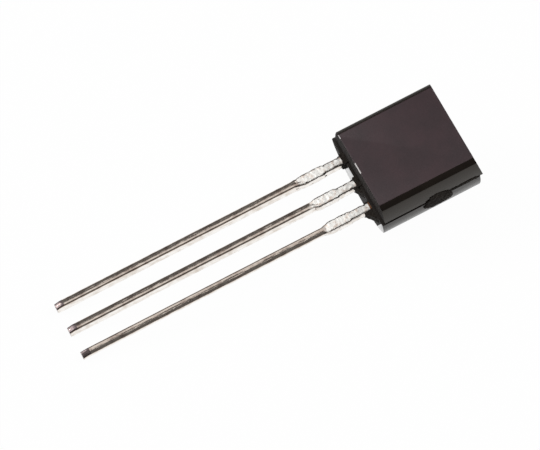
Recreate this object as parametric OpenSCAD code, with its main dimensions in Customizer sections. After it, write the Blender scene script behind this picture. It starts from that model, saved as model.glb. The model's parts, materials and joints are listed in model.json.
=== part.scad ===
// Small-signal transistor in a moulded three-lead through-hole package.
// It lies at rest on the lower edge of its round back and its lead tips, with the flat up.
//
// Package frame, used by every module before at_rest() turns it:
//   X runs across the package, from lead 1 to lead 3
//   Y runs from the lead end, y = 0, towards the far end, so the leads run towards -Y
//   Z points out of the flat, with z = 0 on the parting plane and the leads' front faces
// All sizes are in millimetres and all angles in degrees.

/* [Body] */
// Width of the front half at the parting plane
body_w = 4.64; // [4.4:0.02:4.9]
// Length of the back half, from the lead end to the far end
body_len = 4.78; // [4.4:0.02:5.0]
// Height of the flat above the parting plane
flat_h = 1.05; // [0.9:0.01:1.15]
// Draft of the front half's long sides, from the parting plane to the bevels
side_draft = 9.4; // [6:0.2:12]
// Radius of the long sides, which are slightly barrelled
side_r = 3.3; // [3:0.1:8]
// Draft of the front half's face at the lead end
lead_end_draft = 3.4; // [2:0.2:8]
// Draft of the front half's face at the far end
far_end_draft = 8; // [2:0.2:10]
// Draft of the back half's face at the lead end
back_lead_end_draft = 2; // [0.5:0.1:3]
// Draft of the back half's face at the far end
back_far_end_draft = 0.5; // [0.5:0.1:3]
// Width of the bevel along each long edge of the flat
bevel_w = 0.24; // [0.14:0.01:0.3]
// Depth of the bevel below the flat
bevel_d = 0.15; // [0.1:0.01:0.25]
// Radius on the edges round the flat
flat_edge_r = 0.03; // [0.02:0.005:0.06]
// Depth of the back half's straight sides, before its back turns round
back_drop = 0.15; // [0.05:0.01:0.3]
// Length of the facet that breaks the flat's edge over the middle lead
facet_len = 0.58; // [0.3:0.02:0.9]
// Width of that facet
facet_w = 0.1; // [0.06:0.01:0.14]

/* [Parting line] */
// Width of the ledge that the back half leaves round the front half's long sides
ledge_w = 0.088; // [0.03:0.002:0.12]
// Set-back of the front half's foot from the lead end
lead_end_step = 0.125; // [0.05:0.005:0.2]
// Overhang of the front half's foot past the back half at the far end
far_end_step = 0.14; // [0.05:0.01:0.25]
// Distance from the lead end to the gate remnant's pointed end
gate_tip_y = 1.97; // [1.9:0.05:2.2]
// Distance from the lead end to the gate remnant's blunt end
gate_end_y = 3.40; // [3.2:0.05:3.6]
// Radius of the gate remnant's blunt end
gate_end_r = 0.34; // [0.25:0.01:0.38]
// Depth of the gate remnant's middle below the parting plane
gate_drop = 0.13; // [0.05:0.01:0.2]
// Rounding of the gate's broken face across the parting line
gate_face_r = 0.6; // [0.5:0.05:0.8]
// How far the gate's broken face stands out past the rounded back
gate_proud = 0.04; // [0.02:0.01:0.08]
// Distance from the far end to where the strip of flash beyond the gate stops
flash_end_gap = 0.18; // [0.1:0.01:0.6]
// Height of the strip of flash
flash_h = 0.16; // [0.08:0.01:0.2]
// How far the strip of flash stands out past the back half's side
flash_proud = 0.02; // [0.01:0.005:0.04]
// How far the resin crept out round the sides and the back of each lead
collar_len = 0.2; // [0.1:0.01:0.3]
// Thickness of that collar
collar_w = 0.08; // [0.04:0.01:0.12]
// How far the resin crept out over the front face of each lead
cover_len = 0.1; // [0.05:0.01:0.2]
// Thickness of the cover on the front face
cover_t = 0.03; // [0.02:0.005:0.05]

/* [Leads] */
// Spacing of the leads, centre to centre
lead_pitch = 1.27; // [1.2:0.01:1.35]
// Length of the leads outside the body
lead_len = 14.02; // [12.5:0.02:15]
// Thickness of the lead frame
lead_t = 0.44; // [0.36:0.01:0.48]
// Width of each lead's shank
lead_w = 0.36; // [0.34:0.01:0.46]
// Width of each lead where it leaves the body
root_w = 0.42; // [0.4:0.01:0.5]
// Width over the stubs that are left of the dam bar
stub_w = 0.50; // [0.46:0.01:0.6]
// Distance from the body to the stubs
stub_start = 0.93; // [0.7:0.01:1.2]
// Length of the stubs
stub_len = 0.92; // [0.8:0.02:1.3]
// Length of the ramp from the root's width up to the stubs
stub_rise = 0.12; // [0.05:0.01:0.2]
// Length of the taper from the stubs down to the shank
stub_taper = 0.38; // [0.2:0.01:0.5]
// Radius on the long edges of the plated leads
lead_edge_r = 0.1; // [0.04:0.005:0.12]
// Length over which the shears rolled each tip's front face over
tip_run = 0.25; // [0.1:0.01:0.4]
// Depth of that roll-over at the end
tip_drop = 0.08; // [0.04:0.01:0.15]

/* [Lead frame inside the body] */
// Depth inside the body where the plated bar ends and the stamped frame starts
bar_in = 0.55; // [0.4:0.05:0.7]
// Length of the base lead's bonding head
base_head_len = 0.55; // [0.4:0.05:0.7]
// Width of the base lead's bonding head
base_head_w = 0.95; // [0.8:0.05:1.1]
// Distance from the lead end to the base lead's bonding head
base_head_y = 1.05; // [0.9:0.05:1.3]
// Length of the emitter lead's bonding head
emitter_head_len = 0.85; // [0.6:0.05:1]
// Distance from the lead end to the emitter lead's bonding head
emitter_head_y = 1.95; // [1.6:0.05:2.2]
// How far each outer lead's head reaches out past its bar
head_overhang = 0.3; // [0.15:0.05:0.35]
// Width of the die pad on the collector lead
pad_w = 2.3; // [2:0.05:2.5]
// Length of the die pad
pad_len = 1.6; // [1.2:0.05:1.8]
// Gap between neighbouring parts of the stamped frame
frame_gap = 0.3; // [0.2:0.05:0.4]
// Radius of the notches that lock the frame into the resin
lock_r = 0.12; // [0.08:0.01:0.15]

/* [Die and bond wires] */
// Width and length of the die
die_w = 0.46; // [0.3:0.02:0.6]
// Thickness of the die
die_t = 0.2; // [0.15:0.01:0.25]
// Width of the solder layer that shows round the die
attach_rim = 0.04; // [0.02:0.01:0.08]
// Thickness of the solder layer under the die
attach_t = 0.03; // [0.02:0.005:0.05]
// Diameter of the bond wires
wire_d = 0.05; // [0.04:0.005:0.06]
// Height of the straight rise of each wire above its ball
wire_rise = 0.12; // [0.08:0.01:0.2]
// Radius of the bend at the top of each wire
wire_bend_r = 0.1; // [0.08:0.01:0.15]
// Diameter of the ball bond on the die
ball_d = 0.1; // [0.08:0.01:0.12]
// Height of the ball bond on the die
ball_h = 0.04; // [0.03:0.005:0.05]
// Diameter of the flattened wire end on the lead
stitch_d = 0.12; // [0.1:0.01:0.14]
// Thickness of the flattened wire end
stitch_h = 0.04; // [0.03:0.005:0.05]

/* [Hidden] */
$fn = 48;
eps = 0.01;
clear = 1;
gate_sides = 24;
wire_sides = 10;
wire_bend_steps = 6;

// Body sizes that follow from the ones above
foot_half = body_w / 2;
shoulder_half = foot_half - (flat_h - bevel_d) * tan(side_draft);
flat_half = shoulder_half - bevel_w;
front_y0 = lead_end_step;
front_y1 = body_len + far_end_step;
flat_y0 = front_y0 + flat_h * tan(lead_end_draft);
flat_y1 = front_y1 - flat_h * tan(far_end_draft);
back_r = foot_half + ledge_w;
back_h = back_r + back_drop;

// Centre of the arc of each long side, for the side towards lead 3
side_chord = [shoulder_half - foot_half, flat_h - bevel_d];
side_centre = [foot_half, 0] + side_chord / 2
    - [cos(side_draft), sin(side_draft)] * sqrt(pow(side_r, 2) - pow(norm(side_chord) / 2, 2));

// Stations along the leads, as distances from the body
stub_y = stub_start + stub_rise;
taper_y = stub_y + stub_len;
shank_y = taper_y + stub_taper;

// Stamped frame inside the body
pad_y0 = base_head_y + base_head_len + frame_gap;
pad_x1 = lead_pitch + root_w / 2 + head_overhang;
pad_x0 = pad_x1 - pad_w;
emitter_x1 = pad_x0 - frame_gap;
emitter_x0 = -lead_pitch - root_w / 2 - head_overhang;

// Bonding points: the die's two contacts and the two leads' heads
die_pos = [(pad_x0 + pad_x1) / 2, pad_y0 + pad_len / 2, attach_t];
die_top = attach_t + die_t;
emitter_contact = [die_pos[0] - die_w / 5, die_pos[1] + die_w / 5];
base_contact = [die_pos[0] - die_w / 8, die_pos[1] - die_w / 4];
emitter_stitch = [(emitter_x0 + emitter_x1) / 2, emitter_head_y + emitter_head_len / 2];
base_stitch = [base_head_w / 8, base_head_y + base_head_len / 2];

// Lower corners of the back half, in the plane of the middle lead
lead_corner_y = back_h * tan(back_lead_end_draft);
far_corner_y = body_len - back_h * tan(back_far_end_draft);

// Rest on a level surface: the lead tips' back edges and the lower corner of the lead
// end touch it, so the tilt is that of the line through these two
rest_tilt = atan2(back_h - lead_t, lead_len + lead_corner_y);
rest_h = lead_len * sin(rest_tilt) + lead_t * cos(rest_tilt);

// Ends of the resting package along Y, so that its box is centred on the origin
reach_tips = lead_len * cos(rest_tilt) - tip_drop * sin(rest_tilt);
reach_body = far_corner_y * cos(rest_tilt) + back_h * sin(rest_tilt);
rest_y = (reach_tips - reach_body) / 2;

// Turns the package frame into the part's frame
module at_rest() {
    translate([0, rest_y, rest_h])
        rotate([rest_tilt, 0, 0])
            children();
}

// Turns a profile drawn in (x, z) into a prism along Y, from y0 to y1
module along_y(y0, y1) {
    translate([0, y1, 0])
        rotate([90, 0, 0])
            linear_extrude(y1 - y0)
                children();
}

// Turns a profile drawn in (y, z) into a prism along X, from x0 to x1
module along_x(x0, x1) {
    translate([x0, 0, 0])
        rotate([90, 0, 90])
            linear_extrude(x1 - x0)
                children();
}

function unit(v) = v / norm(v);

// Point at which a fillet of radius r leaves the corner at b for the corner at a
function fillet_start(a, b, c, r) =
    let(
        half = acos(unit(a - b) * unit(c - b)) / 2
    )
    b + unit(a - b) * r / tan(half);

// Centre of the fillet of radius r in the corner at b
function fillet_centre(a, b, c, r) =
    let(
        half = acos(unit(a - b) * unit(c - b)) / 2
    )
    b + unit(unit(a - b) + unit(c - b)) * r / sin(half);

// Convex outline with a true arc of its own radius at each corner, 0 for a sharp one
module filleted(points, radii) {
    count = len(points);
    corner = function(i) [points[(i + count - 1) % count], points[i], points[(i + 1) % count]];
    polygon([
        for (i = [0:count - 1])
            let(c = corner(i))
            for (end = [0, 1])
                end == 0 ? fillet_start(c[0], c[1], c[2], radii[i])
                         : fillet_start(c[2], c[1], c[0], radii[i])
    ]);
    for (i = [0:count - 1]) {
        c = corner(i);
        if (radii[i] > 0)
            translate(fillet_centre(c[0], c[1], c[2], radii[i]))
                circle(radii[i]);
    }
}

// ---------- Resin body ----------

// Section of the front half across the package. Its bevels run on outwards past the long
// sides, and the two arcs of the sides trim them.
module front_section() {
    outer_x = foot_half + bevel_w;
    outer_z = flat_h - (outer_x - flat_half) * bevel_d / bevel_w;
    intersection() {
        filleted(
            [
                [-outer_x, 0],
                [outer_x, 0],
                [outer_x, outer_z],
                [flat_half, flat_h],
                [-flat_half, flat_h],
                [-outer_x, outer_z]
            ],
            [0, 0, 0, flat_edge_r, flat_edge_r, 0]
        );
        overlap_of_both_sides()
            translate(side_centre)
                circle(side_r);
    }
}

// Overlap of a shape and its mirror image across the package
module overlap_of_both_sides() {
    intersection() {
        children();
        mirror([1, 0])
            children();
    }
}

// Side view of the front half, with its two drafted end faces
module front_side_view() {
    filleted(
        [
            [front_y0, 0],
            [front_y1, 0],
            [flat_y1, flat_h],
            [flat_y0, flat_h]
        ],
        [0, 0, flat_edge_r, flat_edge_r]
    );
}

// Facet across the flat's edge at the lead end, as the wedge that it takes off
module edge_facet() {
    leg = facet_w / sqrt(2);
    along_x(-facet_len / 2, facet_len / 2)
        polygon([
            [flat_y0 + 2 * leg, flat_h + leg],
            [flat_y0 - leg, flat_h - 2 * leg],
            [flat_y0 - leg, flat_h + leg]
        ]);
}

module front_half() {
    difference() {
        intersection() {
            along_y(front_y0 - clear, front_y1 + clear)
                front_section();
            along_x(-body_w, body_w)
                front_side_view();
        }
        edge_facet();
    }
}

// Side view of the back half, with its two drafted end faces
module back_side_view() {
    polygon([
        [0, 0],
        [lead_corner_y, -back_h],
        [far_corner_y, -back_h],
        [body_len, 0]
    ]);
}

// Half a drum under a band with straight sides
module back_half() {
    intersection() {
        union() {
            along_y(-clear, body_len + clear)
                translate([-back_r, -back_drop])
                    square([2 * back_r, back_drop]);
            along_y(-clear, body_len + clear)
                intersection() {
                    translate([0, -back_drop])
                        circle(back_r);
                    translate([-back_r - clear, -back_h - clear])
                        square([2 * back_r + 2 * clear, back_r + clear]);
                }
        }
        along_x(-back_r - clear, back_r + clear)
            back_side_view();
    }
}

// Outline of a teardrop from its tip round an arc about its blunt end's centre
function teardrop(tip, centre, r, sides) =
    let(
        half = 90 + asin(r / norm(centre - tip))
    )
    concat(
        [tip],
        [
            for (i = [0:sides])
                let(a = half * (2 * i / sides - 1))
                centre + r * [cos(a), sin(a)]
        ]
    );

// What is left of the gate next to lead 3: a teardrop snapped off along a rounded face
module gate_remnant() {
    face_x = back_r + gate_proud;
    tip = [gate_tip_y, -gate_drop];
    blunt = [gate_end_y - gate_end_r, -gate_drop];
    intersection() {
        along_x(face_x - gate_face_r, face_x + eps)
            polygon(teardrop(tip, blunt, gate_end_r, gate_sides));
        along_y(gate_tip_y - clear, gate_end_y + clear)
            translate([face_x - gate_face_r, -gate_drop])
                circle(gate_face_r);
    }
}

// Strip of flash that broke off with the gate, along the parting line beyond it
module gate_flash() {
    flash_len = body_len - flash_end_gap - gate_end_y + gate_end_r;
    translate([back_r - gate_face_r, gate_end_y - gate_end_r, -flash_h])
        cube([gate_face_r + flash_proud, flash_len, flash_h]);
}

// Thin resin that crept out along a lead: round its sides and back, and over its front
module root_collar() {
    along_y(-collar_len, eps)
        translate([-root_w / 2 - collar_w, -lead_t - collar_w])
            square([root_w + 2 * collar_w, lead_t + collar_w]);
    along_y(-cover_len, front_y0 + eps)
        translate([-root_w / 2, -lead_edge_r])
            square([root_w, lead_edge_r + cover_t]);
}

module resin() {
    front_half();
    back_half();
    gate_remnant();
    gate_flash();
    for (x = [-lead_pitch, 0, lead_pitch])
        translate([x, 0, 0])
            root_collar();
}

module epoxy_body() {
    color([0.2, 0.18, 0.19])
        at_rest()
            difference() {
                resin();
                emitter_insert();
                base_insert();
                collector_insert();
                solder_layer();
                die();
                emitter_wire();
                base_wire();
            }
}

// ---------- Leads ----------

// Points of a lead's section at width w, with its long edges rounded in four steps
function lead_section(w) = [
    for (corner = [0:3])
        for (step = [0:4])
            let(
                a = corner * 90 + step * 22.5,
                sx = corner == 0 || corner == 3 ? 1 : -1,
                sz = corner < 2 ? 1 : -1
            )
            [
                sx * (w / 2 - lead_edge_r) + lead_edge_r * cos(a),
                sz * (lead_t / 2 - lead_edge_r) + lead_edge_r * sin(a) - lead_t / 2
            ]
];

// Straight stretch of lead of width w, between two distances from the body
module lead_bar(from, to, w) {
    along_y(-to, -from)
        polygon(lead_section(w));
}

// Stretch of lead that changes width evenly
module lead_ramp(from, to, w_from, w_to) {
    hull() {
        lead_bar(from, from + eps, w_from);
        lead_bar(to - eps, to, w_to);
    }
}

// Plated root of one lead, from inside the body to the stubs
module lead_root() {
    lead_bar(-bar_in, stub_start + eps, root_w);
}

// Wedge that the shears' roll-over takes off the front face at a lead's tip
module tip_wedge() {
    along_x(-lead_w, lead_w)
        polygon([
            [tip_run - lead_len, 0],
            [-tip_run - lead_len, -2 * tip_drop],
            [-tip_run - lead_len, lead_t]
        ]);
}

// Rest of one lead: the dam bar's stubs, the shank and its sheared tip
module lead_shank() {
    lead_ramp(stub_start, stub_y, root_w, stub_w);
    lead_bar(stub_y - eps, taper_y + eps, stub_w);
    lead_ramp(taper_y, shank_y, stub_w, lead_w);
    difference() {
        lead_bar(shank_y - eps, lead_len, lead_w);
        tip_wedge();
    }
}

// Sheet of the stamped frame between two corners
module frame_plate(x0, x1, y0, y1) {
    translate([x0, y0, -lead_t])
        cube([x1 - x0, y1 - y0, lead_t]);
}

// Bar of the stamped frame, on lead position x, notched on both sides to lock in the resin
module frame_bar(x, y1, notch_y) {
    difference() {
        frame_plate(x - root_w / 2, x + root_w / 2, bar_in, y1);
        for (side = [-1, 1])
            translate([x + side * root_w / 2, notch_y, -lead_t - eps])
                cylinder(h = lead_t + 2 * eps, r = lock_r);
    }
}

// Stretch of lead 1 that the resin holds, with its root and its bonding head
module emitter_insert() {
    translate([-lead_pitch, 0, 0])
        lead_root();
    frame_bar(-lead_pitch, emitter_head_y + eps, (bar_in + emitter_head_y) / 2);
    frame_plate(emitter_x0, emitter_x1, emitter_head_y, emitter_head_y + emitter_head_len);
}

// The same stretch of lead 2
module base_insert() {
    lead_root();
    frame_plate(-root_w / 2, root_w / 2, bar_in, base_head_y + eps);
    frame_plate(-base_head_w / 2, base_head_w / 2, base_head_y, base_head_y + base_head_len);
}

// The same stretch of lead 3, which carries the die pad
module collector_insert() {
    translate([lead_pitch, 0, 0])
        lead_root();
    frame_bar(lead_pitch, pad_y0 + eps, (bar_in + pad_y0) / 2);
    difference() {
        frame_plate(pad_x0, pad_x1, pad_y0, pad_y0 + pad_len);
        translate([pad_x1, pad_y0 + pad_len / 2, -lead_t - eps])
            cylinder(h = lead_t + 2 * eps, r = lock_r);
    }
}

module emitter_lead() {
    color([0.78, 0.77, 0.74])
        at_rest() {
            emitter_insert();
            translate([-lead_pitch, 0, 0])
                lead_shank();
        }
}

module base_lead() {
    color([0.74, 0.73, 0.7])
        at_rest() {
            base_insert();
            lead_shank();
        }
}

module collector_lead() {
    color([0.7, 0.69, 0.66])
        at_rest() {
            collector_insert();
            translate([lead_pitch, 0, 0])
                lead_shank();
        }
}

// ---------- Die and bond wires ----------

module solder_layer() {
    layer_w = die_w + 2 * attach_rim;
    translate([die_pos[0] - layer_w / 2, die_pos[1] - layer_w / 2, 0])
        cube([layer_w, layer_w, attach_t]);
}

module die() {
    translate(die_pos - [die_w / 2, die_w / 2, 0])
        cube([die_w, die_w, die_t]);
}

// Stations of a bond wire in its own upright plane, each as its distance from the ball,
// its height and its direction. It rises, bends over and runs straight down to the lead:
// the straight leaves the bend as a tangent that ends at the stitch.
function wire_route(span) =
    let(
        bend_z = die_top + ball_h + wire_rise,
        end_z = wire_d / 2,
        run = span - wire_bend_r,
        fall = bend_z - end_z,
        slope = atan2(fall, run) + asin(wire_bend_r / norm([run, fall]))
    )
    concat(
        [[0, die_top + ball_h / 2, 90]],
        [
            for (i = [0:wire_bend_steps])
                let(dir = 90 - (90 + slope) * i / wire_bend_steps)
                [wire_bend_r - wire_bend_r * sin(dir), bend_z + wire_bend_r * cos(dir), dir]
        ],
        [[span, end_z, -slope]]
    );

// Round tube swept along stations in the XZ plane, with a ring of flat sides at each
module swept_tube(route, d, sides) {
    rings = len(route);
    points = [
        for (s = route)
            for (i = [0:sides - 1])
                let(a = 360 * i / sides)
                [
                    s[0] - d / 2 * cos(a) * sin(s[2]),
                    d / 2 * sin(a),
                    s[1] + d / 2 * cos(a) * cos(s[2])
                ]
    ];
    walls = [
        for (k = [0:rings - 2])
            for (i = [0:sides - 1])
                let(
                    j = (i + 1) % sides,
                    here = k * sides,
                    there = here + sides
                )
                each [[here + i, there + i, here + j], [there + i, there + j, here + j]]
    ];
    start = [for (i = [0:sides - 1]) i];
    end = [for (i = [sides - 1:-1:0]) (rings - 1) * sides + i];
    polyhedron(points, concat([start], walls, [end]));
}

// Bond wire from a ball on the die to a flattened stitch on a lead
module bond_wire(ball, stitch) {
    span = norm(stitch - ball);
    heading = atan2(stitch[1] - ball[1], stitch[0] - ball[0]);
    translate([ball[0], ball[1], 0])
        rotate([0, 0, heading]) {
            translate([0, 0, die_top])
                cylinder(h = ball_h, d = ball_d);
            swept_tube(wire_route(span), wire_d, wire_sides);
            translate([span, 0, 0])
                cylinder(h = stitch_h, d = stitch_d);
        }
}

module emitter_wire() {
    bond_wire(emitter_contact, emitter_stitch);
}

module base_wire() {
    bond_wire(base_contact, base_stitch);
}

module silicon_die() {
    color([0.36, 0.38, 0.44])
        at_rest()
            die();
}

module die_attach() {
    color([0.66, 0.65, 0.62])
        at_rest()
            solder_layer();
}

module emitter_bond_wire() {
    color([0.88, 0.7, 0.3])
        at_rest()
            emitter_wire();
}

module base_bond_wire() {
    color([0.88, 0.7, 0.3])
        at_rest()
            base_wire();
}

epoxy_body();
emitter_lead();
base_lead();
collector_lead();
silicon_die();
die_attach();
emitter_bond_wire();
base_bond_wire();
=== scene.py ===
"""Dresses a small transistor in its moulded three-lead package, lying on its rounded back."""

import json
import logging
import math
from collections.abc import Callable, Iterator, Mapping
from contextlib import contextmanager
from dataclasses import dataclass
from enum import Enum
from typing import Any, NamedTuple

import bmesh
import bpy
from mathutils import Euler, Matrix, Vector


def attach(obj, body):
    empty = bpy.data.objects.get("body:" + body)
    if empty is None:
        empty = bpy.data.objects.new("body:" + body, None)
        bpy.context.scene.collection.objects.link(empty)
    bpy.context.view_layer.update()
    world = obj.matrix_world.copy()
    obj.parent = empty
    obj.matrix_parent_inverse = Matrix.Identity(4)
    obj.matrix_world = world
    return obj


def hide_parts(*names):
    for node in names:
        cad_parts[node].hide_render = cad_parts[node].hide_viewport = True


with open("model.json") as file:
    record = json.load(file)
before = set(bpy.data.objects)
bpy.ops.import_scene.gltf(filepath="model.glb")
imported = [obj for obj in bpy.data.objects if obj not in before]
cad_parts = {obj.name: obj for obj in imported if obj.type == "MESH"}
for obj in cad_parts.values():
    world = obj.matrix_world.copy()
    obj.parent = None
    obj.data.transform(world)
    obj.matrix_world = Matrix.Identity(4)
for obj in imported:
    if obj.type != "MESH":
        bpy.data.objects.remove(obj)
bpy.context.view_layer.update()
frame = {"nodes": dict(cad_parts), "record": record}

log = logging.getLogger("transistor")

Piece = bpy.types.Object
Material = bpy.types.Material
Node = bpy.types.Node
Tree = bpy.types.NodeTree
Socket = bpy.types.NodeSocket
Materials = dict[Enum, bpy.types.Material]
Colour = tuple[float, float, float, float]
Span = tuple[float, float]
Place = tuple[float, float, float]
PlaceTest = Callable[[Vector, Vector], bool]

MM = 0.001
ORIGIN = (0.0, 0.0, 0.0)
WHITE = (1.0, 1.0, 1.0, 1.0)
# How much of its normal lies along an axis when a face counts as facing that way
FACING = 0.9
# How near a plane a point counts as lying on it
TOUCHING = 0.001


# Colours and material nodes


def linear(hex_colour: str) -> Colour:
    """Turns an sRGB colour written as six hex digits into linear RGBA.

    Args:
        hex_colour: The colour, such as "c8b28a".

    Returns:
        Red, green, blue and an alpha of 1, as a colour socket takes them.
    """
    channels = [int(hex_colour[i:i + 2], 16) / 255 for i in (0, 2, 4)]
    curve = [c / 12.92 if c <= 0.04045 else ((c + 0.055) / 1.055) ** 2.4 for c in channels]
    return (curve[0], curve[1], curve[2], 1.0)


def per_mm(size_mm: float) -> float:
    """Gives the noise scale at which one feature is about size_mm across."""
    return 1.0 / (size_mm * MM)


def spread(middle: float, part: float) -> Span:
    """Gives the ends of a span that reaches a part of its middle value to either side."""
    return (middle * (1.0 - part), middle * (1.0 + part))


def add_node(
    tree: Tree, kind: str, *ordered: Any, named: Mapping[str, Any] | None = None, **settings: Any
) -> Node:
    """Adds one node with its settings, values and incoming links.

    Args:
        tree: The node tree to add to.
        kind: The node's type after "ShaderNode", such as "TexNoise".
        ordered: What its inputs in use take, in order: a value, an output socket, or a node,
            which gives its first output in use.
        named: What further inputs take, by name.
        settings: Attributes of the node itself.

    Returns:
        The new node.
    """
    node = tree.nodes.new(f"ShaderNode{kind}")
    for name, value in settings.items():
        setattr(node, name, value)
    pairs = list(zip((socket for socket in node.inputs if socket.enabled), ordered))
    pairs += [(node.inputs[name], value) for name, value in (named or {}).items()]
    for socket, value in pairs:
        if isinstance(value, Node):
            value = next(output for output in value.outputs if output.enabled)
        if isinstance(value, Socket):
            tree.links.new(value, socket)
        else:
            socket.default_value = value
    return node


def empty_tree(owner: Material | bpy.types.World) -> Tree:
    """Gives a material or a world an empty node tree.

    Args:
        owner: The material or the world.

    Returns:
        Its node tree.
    """
    owner.use_nodes = True
    owner.node_tree.nodes.clear()
    return owner.node_tree


# Finishes


class ResinFace(Enum):
    """How a stretch of resin was left by the mould or by the break, and where a highlight is
    painted.
    """

    MATTE = "matte moulded epoxy"
    END = "dull moulded epoxy"
    SMOOTH = "smooth moulded epoxy"
    SATIN = "satin moulded epoxy"
    POLISHED = "polished moulded epoxy"
    # A pale grey painted highlight on the flat's lead-end edge and on the facet
    PAINTED_HIGHLIGHT = "rubbed moulded epoxy"
    BROKEN = "broken epoxy"


class LeadFace(Enum):
    """What shows on a stretch of a lead."""

    PLATED = "tin plate"
    # A whiter copy of the plating on the leads' right-hand sides: a painted sheen
    PAINTED_SHEEN = "washed tin plate"
    # Glossy coined stub edges, in a darker copy of the plating that paints shade on them
    COINED_WITH_SHADE = "coined tin plate"
    SHEARED = "sheared copper alloy"
    BARE = "bare copper alloy"


class InnerFace(Enum):
    """What the small parts inside the resin are made of."""

    SILICON = "silicon"
    SOLDER = "die solder"
    GOLD = "gold wire"


class Finish:
    """A surface: each kind draws its own shader."""

    def shader(self, tree: Tree) -> Node:
        """Draws the shader, which each kind of finish does in its own way."""
        raise NotImplementedError

    def material(self, name: str) -> Material:
        """Builds the material.

        Args:
            name: The material's name.

        Returns:
            The finished material.
        """
        material = bpy.data.materials.new(name)
        tree = empty_tree(material)
        add_node(tree, "OutputMaterial", self.shader(tree))
        return material


@dataclass(frozen=True)
class MouldedEpoxy(Finish):
    """Black epoxy compound filled with silica, as the mould or a break leaves it.

    A spark-eroded mould face gives the matte grain, a polished one the gloss, and a broken
    face shows the filler as a rough, dull surface. The real grain is finer than it is drawn
    here, where it would be too fine to show.
    """

    colour: str
    pale_colour: str
    roughness: float
    grain_mm: float
    grain_depth_mm: float
    wave_depth_mm: float
    specular_level: float = 0.5
    specular_tint: str = "ffffff"
    ior: float = 1.55
    cloud_mm: float = 0.9
    cloud_range: Span = (0.35, 0.68)
    wave_mm: float = 1.6
    grain_range: Span = (0.3, 0.7)
    unevenness: float = 0.12

    def shader(self, tree: Tree) -> Node:
        """Draws cloudy resin with a fine grain on a slightly wavy face.

        Args:
            tree: The material's node tree.

        Returns:
            The shader.
        """
        place = add_node(tree, "TexCoord").outputs["Object"]
        cloud, grain, wave = (
            add_node(tree, "TexNoise", place, per_mm(size), detail)
            for size, detail in ((self.cloud_mm, 4.0), (self.grain_mm, 2.0), (self.wave_mm, 1.0))
        )
        tint = add_node(tree, "MapRange", cloud, *self.cloud_range)
        colours = (linear(self.colour), linear(self.pale_colour))
        gloss = spread(self.roughness, self.unevenness)
        depth = self.wave_depth_mm * MM
        waves = add_node(tree, "Bump", named={"Height": wave, "Distance": depth})
        depth = self.grain_depth_mm * MM
        relief = {"Height": grain, "Distance": depth, "Normal": waves}
        return add_node(tree, "BsdfPrincipled", named={
            "Base Color": add_node(tree, "Mix", tint, *colours, data_type="RGBA"),
            "Roughness": add_node(tree, "MapRange", grain, *self.grain_range, *gloss),
            "Normal": add_node(tree, "Bump", named=relief),
            "IOR": self.ior,
            "Specular IOR Level": self.specular_level,
            "Specular Tint": linear(self.specular_tint),
        })


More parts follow.
